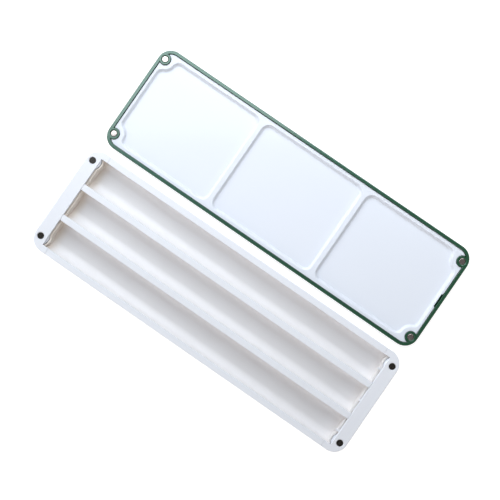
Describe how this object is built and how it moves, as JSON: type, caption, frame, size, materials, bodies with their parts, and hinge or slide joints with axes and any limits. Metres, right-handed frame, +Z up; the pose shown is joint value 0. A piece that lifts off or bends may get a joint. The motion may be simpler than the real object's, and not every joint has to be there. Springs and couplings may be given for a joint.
{
  "type": "paint palette box",
  "caption": "Long flat palette box: a white base with round-bottomed paint channels, and a loose shallow lid that holds a lift-out mixing tray and shuts by corner magnets.",
  "frame": {"origin": "on the table under the middle of the whole set, halfway between the base and the lid that lies beside it", "axes": "+X along the channels towards the mixing tray's finger notch, +Y from the base to the lid, +Z up"},
  "size_m": [0.245, 0.1588, 0.014],
  "materials": {
    "base_shell": "satin white moulded plastic",
    "channel_tray": "satin white moulded plastic, a little warmer down in the channels",
    "end_frames": "satin white moulded plastic",
    "base_magnets": "black coated disc magnets",
    "lid_shell": "satin dark green moulded plastic",
    "mixing_tray": "glossy white moulded plastic",
    "lid_magnets": "bright nickel-plated disc magnets"
  },
  "bodies": {
    "base": {"base_casing": "base_shell", "channel_tray": "channel_tray", "left_end_frame": "end_frames", "right_end_frame": "end_frames", "base_magnet_left_front": "base_magnets", "base_magnet_left_back": "base_magnets", "base_magnet_right_front": "base_magnets", "base_magnet_right_back": "base_magnets"},
    "lid": {"lid_shell": "lid_shell", "lid_magnet_left_front": "lid_magnets", "lid_magnet_left_back": "lid_magnets", "lid_magnet_right_front": "lid_magnets", "lid_magnet_right_back": "lid_magnets"},
    "mixing_tray": {"mixing_tray": "mixing_tray"}
  },
  "joints": [
    {"name": "lid_turn_over", "type": "hinge", "parent": "base", "child": "lid", "pos_m": [0, 0, 0.01105], "axis": [1, 0, 0], "range_deg": [0, 180]},
    {"name": "mixing_tray_lift", "type": "slide", "parent": "lid", "child": "mixing_tray", "axis": [0, 0, -1], "range_m": [-0.03, 0]}
  ]
}
